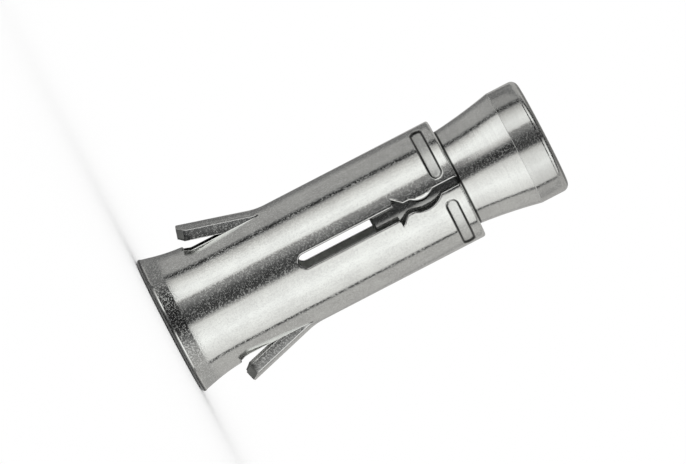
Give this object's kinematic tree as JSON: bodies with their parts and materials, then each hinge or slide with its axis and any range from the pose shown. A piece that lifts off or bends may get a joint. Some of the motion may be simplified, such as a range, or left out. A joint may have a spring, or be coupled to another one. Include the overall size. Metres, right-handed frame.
{
  "type": "hollow floor anchor",
  "caption": "Zinc-plated steel expansion anchor: flared slotted sleeve with lanced barbs and a threaded cone nut that is drawn in to spread it, for fixing into hollow floor slabs.",
  "frame": {"origin": "centre of the flared rim's end face, which the anchor stands on", "axes": "+Z along the anchor's axis from the rim to the cone nut; the slots face -Y and +Y, the barbs -X and +X"},
  "size_m": [0.0216, 0.0182, 0.052],
  "materials": {
    "sleeve_zinc": "bright zinc plating on formed sheet steel",
    "cone_zinc": "bright zinc plating on turned steel"
  },
  "bodies": {
    "sleeve": {"expansion_sleeve": "sleeve_zinc"},
    "cone": {"cone_nut": "cone_zinc"}
  },
  "joints": [
    {"name": "cone_draw", "type": "slide", "parent": "sleeve", "child": "cone", "axis": [0, 0, -1], "range_m": [0, 0.0018]}
  ]
}
